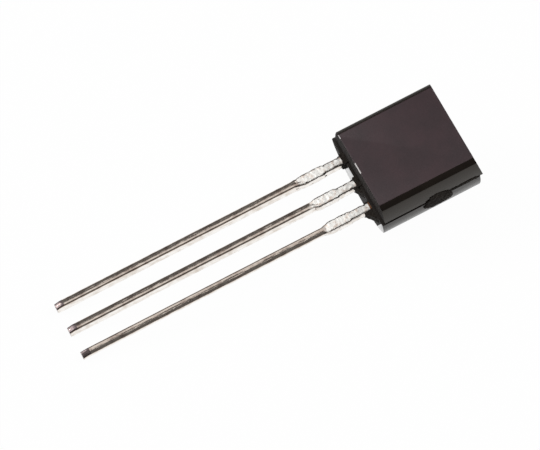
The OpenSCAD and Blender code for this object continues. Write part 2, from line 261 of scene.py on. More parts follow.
@dataclass(frozen=True)
class TinPlate(Finish):
    """Copper alloy plated with tin, then drawn, coined and handled.

    The shank was coined bright: it mirrors the room, carries long draw lines and is stained
    brown in places. From the dam-bar stubs to the body the plating was blasted with the
    resin's flash, so it is pale and grainy and scatters light. The real draw lines and pits
    are finer than they are drawn here, where they would be too fine to show.
    """

    bright: str = "e9dcd0"
    dull: str = "cdbbae"
    stain: str = "988379"
    blasted_bright: str = "faf8f4"
    blasted_dull: str = "dcc8ba"
    shank_roughness: float = 0.13
    blasted_roughness: float = 0.6
    blasted_from_mm: float = 2.2
    blasted_fade_mm: float = 0.5
    ragged_mm: float = 0.3
    grain_mm: float = 0.2
    grain_roughness: float = 0.6
    grain_depth_mm: float = 0.0006
    pit_range: Span = (0.5, 0.7)
    line_mm: float = 0.05
    line_squeeze: float = 0.06
    line_depth_mm: float = 0.0008
    wear_range: Span = (0.45, 0.75)
    patch_mm: float = 0.35
    patch_strength: float = 0.8
    sparkle_fade_mm: float = 3.0
    sparkle_on_shank: float = 0.6
    sparkle_depth_mm: float = 0.008

    def shader(self, tree: Tree) -> Node:
        """Draws a bright, stained shank that gives way to pale, grainy stubs.

        Args:
            tree: The material's node tree.

        Returns:
            The shader.
        """
        place = add_node(tree, "TexCoord").outputs["Object"]
        along = add_node(tree, "SeparateXYZ", place).outputs["Y"]
        blasted = self.blasted_zone(tree, place, along)
        grain = add_node(tree, "TexNoise", place, per_mm(self.grain_mm), 4.0, self.grain_roughness)
        squeeze = (1.0, self.line_squeeze, 1.0)
        squeezed = add_node(tree, "Mapping", place, named={"Scale": squeeze})
        lines = add_node(tree, "TexNoise", squeezed, per_mm(self.line_mm), 3.0)
        patches = add_node(tree, "TexNoise", place, per_mm(self.patch_mm), 4.0)
        worn = add_node(tree, "MapRange", lines, *self.wear_range)
        stained = add_node(tree, "MapRange", patches, *self.wear_range, 0.0, self.patch_strength)
        pitted = add_node(tree, "MapRange", grain, *self.pit_range)
        bright, dull, stain, pale, pits = (
            linear(colour)
            for colour in (
                self.bright, self.dull, self.stain, self.blasted_bright, self.blasted_dull
            )
        )
        drawn = add_node(tree, "Mix", worn, bright, dull, data_type="RGBA")
        shank = add_node(tree, "Mix", stained, drawn, stain, data_type="RGBA")
        stub = add_node(tree, "Mix", pitted, pale, pits, data_type="RGBA")
        gloss = (self.shank_roughness, self.blasted_roughness)
        start, end = ((self.blasted_from_mm - back) * MM for back in (self.sparkle_fade_mm, 0.0))
        sparkle = add_node(tree, "MapRange", along, start, end, self.sparkle_on_shank)
        glints = add_node(tree, "Math", grain, sparkle, operation="MULTIPLY")
        relief: dict[str, Node] = {}
        for height, depth_mm in (
            (lines, self.line_depth_mm),
            (grain, self.grain_depth_mm),
            (glints, self.sparkle_depth_mm),
        ):
            layer = {"Height": height, "Distance": depth_mm * MM, **relief}
            relief = {"Normal": add_node(tree, "Bump", named=layer)}
        return add_node(tree, "BsdfPrincipled", named={
            "Base Color": add_node(tree, "Mix", blasted, shank, stub, data_type="RGBA"),
            "Metallic": 1.0,
            "Roughness": add_node(tree, "MapRange", blasted, 0.0, 1.0, *gloss),
            **relief,
        })

    def blasted_zone(self, tree: Tree, place: Socket, along: Socket) -> Node:
        """Finds where the plating was blasted: near the body, with a ragged edge.

        Args:
            tree: The node tree to add to.
            place: The object coordinates.
            along: Their Y, which runs along the leads.

        Returns:
            A node that gives 0 on the shank and 1 on the stubs and roots.
        """
        edge = self.blasted_from_mm * MM
        fade = self.blasted_fade_mm * MM
        wander = add_node(tree, "TexNoise", place, per_mm(self.ragged_mm), 3.0)
        shifted = add_node(tree, "Math", wander, 2.0 * fade, along, operation="MULTIPLY_ADD")
        return add_node(tree, "MapRange", shifted, edge + 0.8 * fade, edge + 1.2 * fade)


@dataclass(frozen=True)
class PlainMetal(Finish):
    """A bare metal or semiconductor surface, cut or cast and left as it was."""

    colour: str
    metallic: float
    roughness: float
    grain_mm: float
    grain_range: Span = (0.3, 0.7)
    unevenness: float = 0.2

    def shader(self, tree: Tree) -> Node:
        """Draws an even colour with a slightly uneven gloss.

        Args:
            tree: The material's node tree.

        Returns:
            The shader.
        """
        place = add_node(tree, "TexCoord").outputs["Object"]
        grain = add_node(tree, "TexNoise", place, per_mm(self.grain_mm), 3.0)
        gloss = spread(self.roughness, self.unevenness)
        return add_node(tree, "BsdfPrincipled", named={
            "Base Color": linear(self.colour),
            "Metallic": self.metallic,
            "Roughness": add_node(tree, "MapRange", grain, *self.grain_range, *gloss),
        })


@dataclass(frozen=True)
class WhitePaper(Finish):
    """White paper that glows almost to white for the camera.

    The glow leaves a fortieth of what the lamps show on it, so a shadow there is only a
    level or two of 255. Metal and gloss show the paper as pure white.
    """

    colour: Colour = (0.86, 0.86, 0.86, 1.0)
    white_seen: float = 0.975

    def shader(self, tree: Tree) -> Node:
        """Draws the paper.

        Args:
            tree: The material's node tree.

        Returns:
            The shader.
        """
        rays = add_node(tree, "LightPath").outputs
        seen, glossy, through = (
            rays[f"Is {kind} Ray"] for kind in ("Camera", "Glossy", "Transmission")
        )
        beyond = add_node(tree, "Math", glossy, through, operation="MAXIMUM")
        share = add_node(tree, "Math", seen, self.white_seen, beyond, operation="MULTIPLY_ADD")
        paper = add_node(tree, "BsdfDiffuse", self.colour)
        return add_node(tree, "MixShader", share, paper, add_node(tree, "Emission", WHITE, 1.0))


# The mould's finish on each stretch, from the dull spark-eroded ends to the polished patches, and a
# pale colour for a painted highlight
RESIN_FINISHES = {
    ResinFace.MATTE: MouldedEpoxy("281319", "321a20", 0.55, 0.06, 0.004, 0.003),
    ResinFace.END: MouldedEpoxy("17120f", "1e1815", 0.85, 0.06, 0.004, 0.003, 0.25),
    ResinFace.SMOOTH: MouldedEpoxy("150f0c", "1b1511", 0.22, 0.08, 0.0006, 0.003, 0.4, "fff6ea"),
    ResinFace.SATIN: MouldedEpoxy("150f0c", "1b1511", 0.27, 0.07, 0.003, 0.003, 0.33, "fff8f0"),
    ResinFace.POLISHED: MouldedEpoxy("14110f", "1a1715", 0.08, 0.08, 0.0001, 0.0),
    # Pale grey that paints a highlight on the flat's lead-end edge and on the facet
    ResinFace.PAINTED_HIGHLIGHT: MouldedEpoxy("c9c5c3", "dedbd9", 0.5, 0.05, 0.004, 0.002),
    ResinFace.BROKEN: MouldedEpoxy("1d1712", "29221b", 0.85, 0.05, 0.012, 0.004, 0.3),
}
# Longer than a lead, so that the faces with painted sheen and the coined faces with painted shade
# keep the shank's colours and gloss from end to end
WHOLE_LEAD_MM = 50.0
LEAD_FINISHES = {
    LeadFace.PLATED: TinPlate(),
    # Whiter, neutral copy of the plating that paints a sheen on the right-hand sides
    LeadFace.PAINTED_SHEEN: TinPlate(
        bright="f9f6f2", dull="dfd5cb", stain="cbbfb2", blasted_from_mm=WHOLE_LEAD_MM
    ),
    # Darker copy of the plating, glossy like the shank: painted shade on the stub's slanted and
    # left-hand faces
    LeadFace.COINED_WITH_SHADE: TinPlate(
        bright="b5aea8", dull="8f8780", stain="857b72", blasted_from_mm=WHOLE_LEAD_MM
    ),
    LeadFace.SHEARED: PlainMetal("6e6363", 1.0, 0.4, 0.08),
    LeadFace.BARE: PlainMetal("7d5a44", 1.0, 0.55, 0.05),
}
INNER_FINISHES = {
    InnerFace.SILICON: PlainMetal("5f6470", 0.6, 0.25, 0.1),
    InnerFace.SOLDER: PlainMetal("a8a6a0", 1.0, 0.4, 0.05),
    InnerFace.GOLD: PlainMetal("e0b04a", 1.0, 0.2, 0.03),
}


def make_materials(finishes: Mapping[Enum, Finish]) -> Materials:
    """Builds the material of each finish, in order."""
    return {face: finish.material(face.value) for face, finish in finishes.items()}


# Modelling by hand: one millimetre is one unit until a piece is settled


class Axis(Enum):
    """The package's own axes."""

    X = "X"
    Y = "Y"
    Z = "Z"


class Kind(Enum):
    """What a selection is made of."""

    FACE = "FACE"
    EDGE = "EDGE"
    POINT = "VERT"


class Blend(Enum):
    """What becomes of a piece and the tool it is combined with."""

    JOIN = "UNION"
    CUT = "DIFFERENCE"
    OVERLAP = "INTERSECT"


def deselect_all() -> None:
    """Leaves object mode with nothing selected."""
    if bpy.context.object is not None and bpy.context.object.mode != "OBJECT":
        bpy.ops.object.mode_set(mode="OBJECT")
    bpy.ops.object.select_all(action="DESELECT")


def activate(piece: Piece) -> None:
    """Makes a piece the only selected object and the active one.

    Args:
        piece: The piece.
    """
    deselect_all()
    piece.select_set(True)
    bpy.context.view_layer.objects.active = piece


@contextmanager
def edit_mode(piece: Piece) -> Iterator[None]:
    """Opens a piece in edit mode with nothing selected, and closes it afterwards.

    Args:
        piece: The piece to work on.

    Yields:
        Nothing: the operators act on the open piece.
    """
    activate(piece)
    bpy.ops.object.mode_set(mode="EDIT")
    bpy.ops.mesh.select_all(action="DESELECT")
    yield
    bpy.ops.object.mode_set(mode="OBJECT")


def pick(kind: Kind, wanted: Callable[..., bool]) -> None:
    """Selects the open piece's faces, edges or points that pass a test, and nothing else.

    Args:
        kind: Which of the three.
        wanted: The test: it takes a face's middle and normal, an edge's middle and direction,
            or a point's place.
    """
    bpy.ops.mesh.select_mode(type=kind.value)
    bpy.ops.mesh.select_all(action="DESELECT")
    mesh = bpy.context.edit_object.data
    shape = bmesh.from_edit_mesh(mesh)
    if kind is Kind.FACE:
        facts = [(face, face.calc_center_median(), face.normal) for face in shape.faces]
    elif kind is Kind.EDGE:
        ends = [(edge, *(point.co for point in edge.verts)) for edge in shape.edges]
        facts = [(edge, (a + b) / 2, (b - a).normalized()) for edge, a, b in ends]
    else:
        facts = [(point, point.co) for point in shape.verts]
    for bit, *known in facts:
        if wanted(*known):
            bit.select_set(True)
    if kind is Kind.POINT:
        shape.select_flush_mode()
    bmesh.update_edit_mesh(mesh)


def extrude(x: float = 0.0, y: float = 0.0, z: float = 0.0) -> None:
    """Extrudes the picked faces by a distance along each axis."""
    bpy.ops.mesh.extrude_region_move(TRANSFORM_OT_translate={"value": (x, y, z)})


def move(x: float = 0.0, y: float = 0.0, z: float = 0.0) -> None:
    """Moves what is picked by a distance along each axis."""
    bpy.ops.transform.translate(value=(x, y, z))


def stretch(x: float, y: float, z: float, centre: Place) -> None:
    """Scales what is picked about a centre."""
    bpy.ops.transform.resize(value=(x, y, z), center_override=centre)


def turn(degrees: float, axis: Axis, centre: Place) -> None:
    """Turns what is picked about an axis through a centre, by the right-hand rule."""
    angle = -math.radians(degrees)
    bpy.ops.transform.rotate(value=angle, orient_axis=axis.value, center_override=centre)


def fit_span(old: Span, new: Span) -> Span:
    """Finds the scaling that carries one span to another.

    Args:
        old: The span's two ends as they are.
        new: The two ends wanted.

    Returns:
        The factor and the centre to scale about.
    """
    factor = (new[1] - new[0]) / (old[1] - old[0])
    centre = (new[0] - factor * old[0]) / (1 - factor)
    return factor, centre


def settled_primitive(name: str) -> Piece:
    """Names the primitive just added and puts its size and place in its mesh.

    Args:
        name: Its name.

    Returns:
        The piece.
    """
    piece = bpy.context.object
    piece.name = name
    bpy.ops.object.transform_apply(location=True, rotation=True, scale=True)
    return piece


def block(name: str, x: Span, y: Span, z: Span) -> Piece:
    """Adds a block.

    Args:
        name: The piece's name.
        x: The ends along X.
        y: The ends along Y.
        z: The ends along Z.

    Returns:
        The block.
    """
    deselect_all()
    spans = (x, y, z)
    bpy.ops.mesh.primitive_cube_add(
        size=1.0,
        location=[sum(span) / 2 for span in spans],
        scale=[span[1] - span[0] for span in spans],
    )
    return settled_primitive(name)


def drum(name: str, radius: float, length: float, centre: Place, axis: Axis, sides: int) -> Piece:
    """Adds a cylinder.

    Args:
        name: The piece's name.
        radius: Its radius.
        length: Its length along the axis.
        centre: Its middle.
        axis: The axis it lies along.
        sides: How many sides it has.

    Returns:
        The cylinder.
    """
    deselect_all()
    quarter = math.pi / 2
    lie = {Axis.X: (0.0, quarter, 0.0), Axis.Y: (quarter, 0.0, 0.0), Axis.Z: ORIGIN}[axis]
    bpy.ops.mesh.primitive_cylinder_add(
        vertices=sides, radius=radius, depth=length, location=centre, rotation=lie
    )
    return settled_primitive(name)


def apply_modifier(piece: Piece, kind: str, **settings: Any) -> None:
    """Adds one modifier to a piece and applies it.

    Args:
        piece: The piece.
        kind: The modifier's type, such as "REMESH".
        settings: The modifier's own settings.
    """
    activate(piece)
    modifier = piece.modifiers.new(kind.lower(), kind)
    for name, value in settings.items():
        setattr(modifier, name, value)
    bpy.ops.object.modifier_apply(modifier=modifier.name)


def combine(piece: Piece, tool: Piece, blend: Blend = Blend.JOIN) -> None:
    """Joins a tool's solid to a piece or cuts with it, and uses the tool up.

    Args:
        piece: The piece that changes.
        tool: The solid to join or cut with.
        blend: What becomes of the two.
    """
    apply_modifier(piece, "BOOLEAN", operation=blend.value, object=tool, solver="MANIFOLD")
    bpy.data.objects.remove(tool, do_unlink=True)


def roughen(piece: Piece, size: float, depth: float, group: str = "") -> None:
    """Pushes a piece's surface in and out by a cloud pattern.

    Args:
        piece: The piece.
        size: The size of one lump.
        depth: The height from the lowest hollow to the highest lump.
        group: The vertex group that it acts on, or none for all.
    """
    clouds = bpy.data.textures.new(f"{piece.name} lumps", "CLOUDS")
    clouds.noise_scale = size
    clouds.noise_depth = 2
    apply_modifier(
        piece, "DISPLACE", texture=clouds, strength=depth, mid_level=0.5, vertex_group=group
    )


def wear_finishes(piece: Piece, finishes: Materials) -> None:
    """Gives a piece a material slot for each finish, in the order of their Enum.

    Args:
        piece: The piece.
        finishes: The material of each finish.
    """
    piece.data.materials.clear()
    for face in type(next(iter(finishes))):
        piece.data.materials.append(finishes[face])


def paint_faces(piece: Piece, face: Enum, wanted: PlaceTest) -> None:
    """Puts one finish on the faces that pass a test.

    Args:
        piece: The piece, which wears its finishes.
        face: The finish.
        wanted: Says whether a face with this middle and normal is painted.
    """
    with edit_mode(piece):
        pick(Kind.FACE, wanted)
        piece.active_material_index = list(type(face)).index(face)
        bpy.ops.object.material_slot_assign()


@dataclass(frozen=True)
class Rest:
    """Where the package lies: its tilt, and its own origin in the part's frame."""

    tilt: float
    origin: Vector

    @classmethod
    def from_record(cls, record: dict[str, Any], lead_thickness: float) -> "Rest":
        """Reads the place at rest from the record's mounts.

        Args:
            record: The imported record.
            lead_thickness: The lead frame's thickness, in millimetres.

        Returns:
            The place at rest.
        """
        mounts = {mount["name"]: mount for mount in record["mounts"]}
        upright = Vector(mounts["flat"]["axis"])
        middle = Vector(mounts["board_leads"]["pos_m"])
        return cls(
            tilt=math.atan2(-upright.y, upright.z),
            origin=middle + upright * (lead_thickness / 2 * MM),
        )

    def settle(self, piece: Piece, smooth_angle: float = 40.0) -> None:
        """Brings a piece from its own frame, in millimetres, to its place at rest, in metres.

        Args:
            piece: The finished piece.
            smooth_angle: Edges sharper than this, in degrees, stay sharp.
        """
        activate(piece)
        lie = Matrix.Translation(self.origin) @ Matrix.Rotation(self.tilt, 4, "X")
        piece.matrix_world = lie @ Matrix.Scale(MM, 4)
        bpy.ops.object.transform_apply(location=True, rotation=True, scale=True)
        bpy.ops.object.shade_smooth_by_angle(angle=math.radians(smooth_angle))


def enlist(piece: Piece, node: str) -> None:
    """Lets a finished piece stand for its CAD node, and reports it.

    Args:
        piece: The finished piece.
        node: The node's name.
    """
    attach(piece, "root")
    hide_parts(node)
    log.info("%s: %d faces, stands for %s", piece.name, len(piece.data.polygons), node)


@dataclass(frozen=True)
class LeadStock:
    """Sizes that all three leads share, in millimetres: distances run from the body."""

    pitch: float = 1.27
    shift: float = -0.035
    length: float = 14.02
    thickness: float = 0.44
    width: float = 0.36
    root_width: float = 0.42
    stub_width: float = 0.50
    stub_start: float = 0.93
    stub_length: float = 0.92
    stub_rise: float = 0.12
    edge_offset: float = 0.18
    edge_profile: float = 0.72
    tip_run: float = 0.25
    tip_rolled: float = 0.13
    tip_drop: float = 0.08
    tip_lift: float = 0.035
    bar_in: float = 0.55
    bar_out: float = 0.01
    notch_radius: float = 0.12

    @property
    def stub_full(self) -> float:
        """Distance at which the stub has reached its full width."""
        return self.stub_start + self.stub_rise

    @property
    def stub_end(self) -> float:
        """Distance at which the stub starts to narrow to the shank."""
        return self.stub_full + self.stub_length

    def place_of(self, lead: int) -> float:
        """Place across the package of lead -1, 0 or 1."""
        return lead * self.pitch + self.shift


# Resin body


class Web(NamedTuple):
    """Torn flash beside a lead: its thick and thin ends, and the reach of the thick one."""

    start: float
    end: float
    reach: float


@dataclass(frozen=True)
class ResinBody:
    """The moulded body: a drafted front half with the flat, and a round back half.

    All sizes are in millimetres and all drafts in degrees.
    """

    finishes: Materials
    stock: LeadStock
    width: float = 4.64
    length: float = 4.78
    flat_height: float = 1.05
    side_draft: float = 9.4
    side_radius: float = 3.3
    side_steps: int = 6
    right_spread: float = 0.05
    lead_end_draft: float = 3.4
    far_end_draft: float = 8.0
    back_lead_end_draft: float = 2.0
    back_far_end_draft: float = 0.5
    bevel_width: float = 0.24
    bevel_depth: float = 0.15
    flat_edge_radius: float = 0.03
    back_drop: float = 0.15
    back_edge_radius: float = 0.05
    back_sides: int = 160
    facet_middle: float = -0.11
    facet_length: float = 0.58
    facet_width: float = 0.065
    ledge: float = 0.088
    lead_end_step: float = 0.125
    far_end_step: float = 0.14
    gate_tip: float = 1.97
    gate_end: float = 3.40
    gate_radius: float = 0.5
    gate_drop: float = 0.21
    gate_face_radius: float = 1.5
    gate_proud: float = 0.04
    gate_depth: float = 0.5
    gate_pinches: Span = (0.35, 0.15)
    gate_pinch: float = 0.75
    tear_end: float = 4.62
    tear_width: float = 0.22
    tear_drop: float = 0.02
    tear_under_gate: float = 0.3
    tear_inset: float = 0.05
    tear_root: float = 0.12
    root_depth: float = 0.15
    root_drop: float = 0.06
    collar_reach: float = 0.2
    collar_width: float = 0.09
    collar_taper: float = 0.9
    cover_reach: float = 0.1
    cover_thickness: float = 0.035
    cover_inset: float = 0.03
    cover_root: Span = (0.05, -0.1)
    web_bottom: float = -0.5
    webs: tuple[Web, ...] = (Web(0.13, 0.60, 0.26), Web(1.40, 1.95, 0.42))
    polished_slant: float = 0.45
    polished: tuple[Span, ...] = ((-0.83, -0.19), (2.27, 9.0))
    # Where the highlight painted on the flat's lead-end edge stops, across the package
    highlight_corner: float = -1.72
    smooth_angle: float = 14.0

    @property
    def back_radius(self) -> float:
        """Radius of the round back half."""
        return self.width / 2 + self.ledge

    @property
    def shoulder(self) -> float:
        """Height at which the long sides end and the bevels start."""
        return self.flat_height - self.bevel_depth

    def side_at(self, height: float) -> float:
        """Finds half the width of the front half, along its slightly barrelled side.

        Args:
            height: The height above the parting plane.

        Returns:
            The left-hand side's distance from the middle.
        """
        slope = math.radians(self.side_draft)
        reach = self.shoulder / math.cos(slope) / 2
        inward = math.sqrt(self.side_radius**2 - reach**2)
        centre_x = self.width / 2 - reach * math.sin(slope) - inward * math.cos(slope)
        centre_z = reach * math.cos(slope) - inward * math.sin(slope)
        return centre_x + math.sqrt(self.side_radius**2 - (height - centre_z) ** 2)

    def sides_at(self, height: float) -> Span:
        """Both long sides of the front half along X: the right one spreads to its foot."""
        spread = self.right_spread * (1.0 - height / self.shoulder)
        return (-self.side_at(height), self.side_at(height) + spread)

    def ends_at(self, height: float) -> Span:
        """Both ends of the front half along Y at a height above the parting plane."""
        near, far = (math.tan(math.radians(d)) for d in (self.lead_end_draft, self.far_end_draft))
        return (self.lead_end_step + height * near, self.length + self.far_end_step - height * far)

    def build(self, rest: Rest) -> None:
        """Models the whole body and lays it at rest.

        Args:
            rest: The place at rest.
        """
        body = self.front_half()
        for part in (self.back_half, self.torn_gate, self.torn_flash):
            combine(body, part())
        for lead in (-1, 0, 1):
            for part in self.crept_resin(lead):
                combine(body, part)
        for web in self.webs:
            combine(body, self.web(web))
        rest.settle(body, self.smooth_angle)
        enlist(body, "epoxy_body")

    def draw_in(self, low: float, high: float, sides: Span) -> None:
        """Fits the picked top face, raised from one height to another, to its size there.

        Args:
            low: The height whose size the face has.
            high: The height it lies at now.
            sides: The places wanted for its two long sides.
        """
        across, centre_x = fit_span(self.sides_at(low), sides)
        along, centre_y = fit_span(self.ends_at(low), self.ends_at(high))
        stretch(across, along, 1.0, (centre_x, centre_y, high))

    def front_half(self) -> Piece:
        """Models the front half: a block raised step by step to its shoulder, then to the flat.

        Returns:
            The front half.
        """
        rise = self.shoulder / self.side_steps
        inner = self.side_at(self.shoulder) - self.bevel_width
        piece = block("resin_body", self.sides_at(0.0), self.ends_at(0.0), (0.0, rise))
        wear_finishes(piece, self.finishes)
        with edit_mode(piece):
            pick(Kind.FACE, lambda at, normal: normal.z > FACING)
            self.draw_in(0.0, rise, self.sides_at(rise))
            for step in range(1, self.side_steps):
                low, high = step * rise, (step + 1) * rise
                extrude(z=rise)
                self.draw_in(low, high, self.sides_at(high))
            extrude(z=self.bevel_depth)
            self.draw_in(self.shoulder, self.flat_height, (-inner, inner))
            pick(
                Kind.EDGE,
                lambda at, direction: abs(direction.z) > 0.5
                or at.z > self.flat_height - TOUCHING
                or (at.z > self.shoulder - TOUCHING and abs(direction.y) > FACING)
            )
            bpy.ops.mesh.bevel(offset=self.flat_edge_radius, segments=3, affect="EDGES")
        paint_faces(piece, ResinFace.SMOOTH, lambda at, normal: abs(normal.x) > 0.4)
        paint_faces(piece, ResinFace.END, lambda at, normal: abs(normal.y) > 0.8)
        # Splits the flat's lead-end edge where its painted highlight stops
        with edit_mode(piece):
            pick(Kind.FACE, self.on_flat_edge)
            bpy.ops.mesh.bisect(plane_co=(self.highlight_corner, 0.0, 0.0), plane_no=(1.0, 0.0, 0.0))
        # Paints a pale highlight on the left end of the flat's lead-end edge
        paint_faces(
            piece,
            ResinFace.PAINTED_HIGHLIGHT,
            lambda at, normal: at.x < self.highlight_corner and self.on_flat_edge(at, normal),
        )
        # Cuts the facet, then paints a pale highlight on it
        combine(piece, self.facet_wedge(), Blend.CUT)
        paint_faces(
            piece,
            ResinFace.PAINTED_HIGHLIGHT,
            lambda at, normal: 0.6 < -normal.y < 0.8 and abs(normal.x) < 0.1
            and abs(at.x - self.facet_middle) < self.facet_length / 2,
        )
        return piece

    def on_flat_edge(self, at: Vector, normal: Vector) -> bool:
        """Says whether a face is part of the rounded edge between the flat and the lead end.

        Args:
            at: The face's middle.
            normal: Its normal.

        Returns:
            Whether it is.
        """
        reach = self.flat_edge_radius + 0.005
        edge = self.ends_at(self.flat_height)[0]
        near = at.z > self.flat_height - reach and at.y < edge + reach
        return near and normal.y < -0.2 and abs(normal.x) < 0.3

    def facet_wedge(self) -> Piece:
        """Models what the facet takes off the flat's edge over the middle lead.

        Returns:
            A block that leans at 45 degrees over the edge.
        """
        half, depth, top = self.facet_length / 2, 0.5, self.flat_height
        start = self.ends_at(top)[0] + self.facet_width / math.sqrt(2.0)
        across = (self.facet_middle - half, self.facet_middle + half)
        wedge = block("facet wedge", across, (start - depth, start + depth), (top, top + depth))
        wear_finishes(wedge, self.finishes)
        with edit_mode(wedge):
            bpy.ops.mesh.select_all(action="SELECT")
            turn(45.0, Axis.X, (0.0, start, top))
        return wedge

    def back_half(self) -> Piece:
        """Models the back half: half a drum under a straight band, with drafted ends.

        Returns:
            The back half.
        """
        centre = (0.0, self.length / 2, -self.back_drop)
        piece = drum("back half", self.back_radius, self.length, centre, Axis.Y, self.back_sides)
        wear_finishes(piece, self.finishes)
        with edit_mode(piece):
            bpy.ops.mesh.select_all(action="SELECT")
            bpy.ops.mesh.bisect(
                plane_co=centre, plane_no=(0.0, 0.0, 1.0), use_fill=True, clear_outer=True
            )
            pick(Kind.FACE, lambda at, normal: normal.z > FACING)
            extrude(z=self.back_drop)
            pick(Kind.FACE, lambda at, normal: normal.y < -FACING)
            turn(self.back_lead_end_draft, Axis.X, ORIGIN)
            pick(Kind.FACE, lambda at, normal: normal.y > FACING)
            turn(-self.back_far_end_draft, Axis.X, (0.0, self.length, 0.0))
            pick(
                Kind.EDGE,
                lambda at, direction: abs(direction.y) < 0.5
                and at.z < -0.01
                and self.off_back(at) > self.back_radius * 0.99
            )
            bpy.ops.mesh.bevel(offset=self.back_edge_radius, segments=4, affect="EDGES")
        paint_faces(piece, ResinFace.SATIN, lambda at, normal: abs(normal.y) < 0.6)
        paint_faces(piece, ResinFace.END, lambda at, normal: abs(normal.y) >= 0.6)
        for start, end in self.polished:
            self.polish(piece, start, end)
        return piece

    def polish(self, piece: Piece, start: float, end: float) -> None:
        """Gives a slanting stretch of the lead-end face the gloss of a polished mould.

        Args:
            piece: The back half.
            start: Where the stretch starts across the package, at the parting plane.
            end: Where it ends.
        """
        slant = self.polished_slant
        for x in (start, end):
            with edit_mode(piece):
                pick(Kind.FACE, lambda at, normal: normal.y < -FACING)
                bpy.ops.mesh.bisect(plane_co=(x, 0.0, 0.0), plane_no=(1.0, 0.0, -slant))
        paint_faces(
            piece,
            ResinFace.POLISHED,
            lambda at, normal: normal.y < -FACING and start < at.x - slant * at.z < end,
        )

    def off_back(self, place: Vector) -> float:
        """Distance of a point from the back half's middle line or the plane above it."""
        return math.hypot(place.x, min(place.z + self.back_drop, 0.0))

    def torn_gate(self) -> Piece:
        """Models the snapped gate on the right-hand side, with its tip pinched.

        Returns:
            The rough lump, which reaches into the body.
        """
        face = self.back_radius + self.gate_proud
        half = (self.gate_end - self.gate_tip) / 2
        middle = (face - self.gate_depth / 2, (self.gate_tip + self.gate_end) / 2, -self.gate_drop)
        piece = drum("torn gate", self.gate_radius, self.gate_depth, middle, Axis.X, 64)
        with edit_mode(piece):
            bpy.ops.mesh.select_all(action="SELECT")
            stretch(1.0, half / self.gate_radius, 1.0, middle)
            for part in self.gate_pinches:
                tip = self.gate_tip + part * self.gate_radius * 2
                pick(Kind.POINT, lambda place: place.y < tip)
                stretch(1.0, 1.0, self.gate_pinch, middle)
        centre = (face - self.gate_face_radius, self.length / 2, -self.gate_drop)
        shaper = drum("round face", self.gate_face_radius, self.length, centre, Axis.Y, 128)
        combine(piece, shaper, Blend.OVERLAP)
        return self.tear(piece, lump=0.12, depth=0.08)

    def torn_flash(self) -> Piece:
        """Models the flash that was torn off the parting line beyond the gate.

        Returns:
            The rough strip, which reaches into the body.
        """
        low = -self.tear_width / 2 - self.tear_drop
        outer = self.back_radius + self.gate_proud - self.tear_inset
        along = (self.gate_end - self.tear_under_gate, self.tear_end)
        across = (self.width / 2 - self.tear_root, outer)
        piece = block("torn flash", across, along, (low, low + self.tear_width))
        return self.tear(piece, lump=0.09)

    def tear(self, piece: Piece, lump: float = 0.1, depth: float = 0.05) -> Piece:
        """Gives a piece the rough surface and the finish of broken resin.

        Args:
            piece: The piece to roughen.
            lump: The size of one lump.
            depth: The height from the lowest hollow to the highest lump.

        Returns:
            The same piece.
        """
        apply_modifier(piece, "REMESH", mode="VOXEL", voxel_size=0.02)
        roughen(piece, lump, depth)
        wear_finishes(piece, self.finishes)
        paint_faces(piece, ResinFace.BROKEN, lambda at, normal: True)
        return piece

    def crept_resin(self, lead: int) -> Iterator[Piece]:
        """Models the thin resin that crept out round one lead, and over it on leads 1 and 2.

        Args:
            lead: -1, 0 or 1.

        Yields:
            The rough collar and the thinner cover, which reach into the body.
        """
        x = self.stock.place_of(lead)
        half = self.stock.root_width / 2 + self.collar_width
        height = (-self.stock.thickness - self.collar_width / 2, -self.root_drop)
        piece = block("collar", (x - half, x + half), (-self.collar_reach, self.root_depth), height)
        with edit_mode(piece):
            pick(Kind.FACE, lambda at, normal: normal.y < -FACING)
            centre = (x, 0.0, -self.stock.thickness / 2)
            stretch((half - self.root_drop) / half, 1.0, self.collar_taper, centre)
        yield self.tear(piece)
        if lead < 1:
            half -= self.cover_inset
            depth, bottom = self.cover_root
            along = (-self.cover_reach, self.lead_end_step + depth)
            height = (bottom, self.cover_thickness)
            yield self.tear(block("cover", (x - half, x + half), along, height))

    def web(self, web: Web) -> Piece:
        """Models flash that was torn off beside a lead and tapers out along the body.

        Args:
            web: Its two ends and its reach.

        Returns:
            The rough wedge, which reaches into the body.
        """
        height = (self.web_bottom, -self.root_drop)
        piece = block("web", (web.start, web.end), (-web.reach, self.root_depth), height)
        with edit_mode(piece):
            pick(Kind.POINT, lambda place: place.x > web.end - TOUCHING and place.y < 0.0)
            move(y=web.reach)
        return self.tear(piece)


# Leads


class Station(NamedTuple):
    """A place along a lead: its distance, the width there and the rings on the way to it."""

    distance: float
    width: float
    rings: int


class Plate(NamedTuple):
    """A flat stretch of the lead frame inside the resin, by its sides and its ends."""

    left: float
    right: float
    start: float
    end: float


